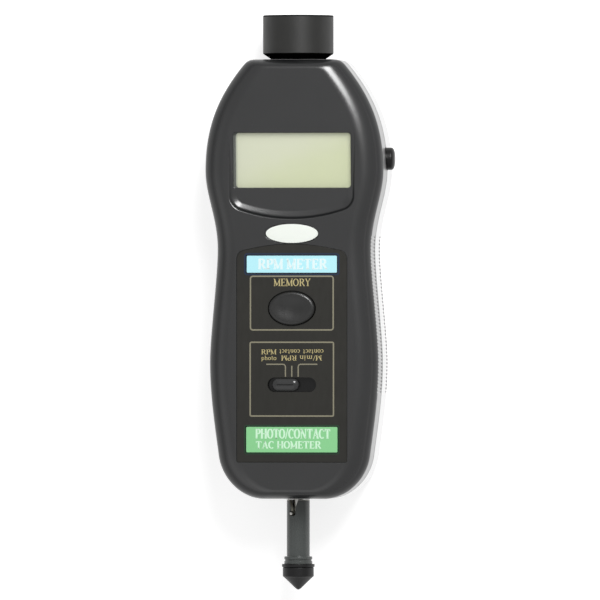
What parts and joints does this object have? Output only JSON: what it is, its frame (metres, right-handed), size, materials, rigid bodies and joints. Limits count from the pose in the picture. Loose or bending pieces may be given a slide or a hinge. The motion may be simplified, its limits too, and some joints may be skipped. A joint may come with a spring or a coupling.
{
  "type": "hand-held photo/contact tachometer",
  "caption": "Hand-held tachometer with a lens barrel at one end, a rotating contact spindle with a rubber cone at the other, an LCD, a slide switch and push buttons.",
  "frame": {"origin": "middle of the flat back, under the middle of the housing, where it rests", "axes": "+Z out of the display face, +Y towards the lens barrel, +X to the right when the display is read"},
  "size_m": [0.07, 0.2149, 0.0391],
  "materials": {
    "case_plastic": "finely textured satin moulding",
    "panel_film": "fine matt film",
    "barrel_plastic": "satin moulding",
    "black_rubber": "satin moulded rubber",
    "gloss_black": "polished moulding",
    "grey_plastic": "plain moulding",
    "sleeve_grey": "turned satin finish",
    "cone_rubber": "moulded rubber",
    "clear_acrylic": "clear polished",
    "lcd_glass": "pale green reflective display",
    "sensor_glass": "dark tinted",
    "blue_print": "printed colour field",
    "green_print": "printed colour field",
    "pearl_badge": "bare pearl white label",
    "board_laminate": "solder-masked laminate",
    "chip_black": "moulded epoxy",
    "steel": "turned and ground",
    "bronze": "sintered",
    "nickel": "nickel plated",
    "cell_jacket": "printed sleeve, plain"
  },
  "bodies": {
    "case": {"front_case": "case_plastic", "rear_case": "case_plastic", "display_window": "clear_acrylic", "lcd_panel": "lcd_glass", "lcd_frame": "grey_plastic", "zebra_strip_upper": "black_rubber", "zebra_strip_lower": "black_rubber", "face_panel": "panel_film", "blue_strip": "blue_print", "green_strip": "green_print", "oval_badge": "pearl_badge", "memory_switch": "grey_plastic", "mode_switch": "grey_plastic", "switch_board": "board_laminate", "measure_switch": "grey_plastic", "lens_barrel": "barrel_plastic", "front_lens": "clear_acrylic", "lens_ring": "barrel_plastic", "sensor_holder": "barrel_plastic", "sensor_board": "board_laminate", "light_source": "clear_acrylic", "photo_sensor": "sensor_glass", "bearing_block": "grey_plastic", "bearing_outer": "bronze", "bearing_inner": "bronze", "light_gate": "chip_black", "encoder_board": "board_laminate", "main_board": "board_laminate", "microcontroller": "chip_black", "crystal": "nickel", "case_screw_1": "steel", "case_screw_2": "steel", "case_screw_3": "steel", "case_screw_4": "steel", "board_screw_1": "steel", "board_screw_2": "steel", "board_screw_3": "steel", "board_screw_4": "steel", "cell_left_lower": "cell_jacket", "cell_left_upper": "cell_jacket", "cell_right_lower": "cell_jacket", "cell_right_upper": "cell_jacket", "contact_upper_left": "nickel", "contact_upper_right": "nickel", "contact_lower_bridge": "nickel", "spring_upper": "nickel", "spring_lower": "nickel"},
    "battery_cover": {"battery_cover": "case_plastic"},
    "memory_button": {"memory_button": "black_rubber", "memory_plunger": "nickel"},
    "mode_knob": {"mode_knob": "gloss_black", "mode_lever": "nickel"},
    "measure_button": {"measure_button": "black_rubber", "measure_plunger": "nickel"},
    "spindle": {"spindle": "steel", "cross_pin": "steel", "encoder_disc": "chip_black", "spindle_clip": "steel"},
    "adaptor": {"adaptor_sleeve": "sleeve_grey", "cone_tip": "cone_rubber"}
  },
  "joints": [
    {"name": "cover_slide", "type": "slide", "parent": "case", "child": "battery_cover", "axis": [0, -1, 0], "range_m": [0, 0.112]},
    {"name": "memory_press", "type": "slide", "parent": "case", "child": "memory_button", "axis": [0, 0, -1], "range_m": [0, 0.001], "stiffness_N_per_m": 1500, "springref_m": -0.0005},
    {"name": "mode_slide", "type": "slide", "parent": "case", "child": "mode_knob", "axis": [1, 0, 0], "range_m": [0, 0.0048]},
    {"name": "measure_press", "type": "slide", "parent": "case", "child": "measure_button", "axis": [-1, 0, 0], "range_m": [0, 0.0012], "stiffness_N_per_m": 1500, "springref_m": -0.0005},
    {"name": "spindle_spin", "type": "hinge", "parent": "case", "child": "spindle", "pos_m": [0, -0.08, 0.019], "axis": [0, 1, 0], "continuous": true},
    {"name": "adaptor_twist", "type": "hinge", "parent": "spindle", "child": "adaptor", "pos_m": [0, -0.09, 0.019], "axis": [0, -1, 0], "range_deg": [0, 12]}
  ]
}
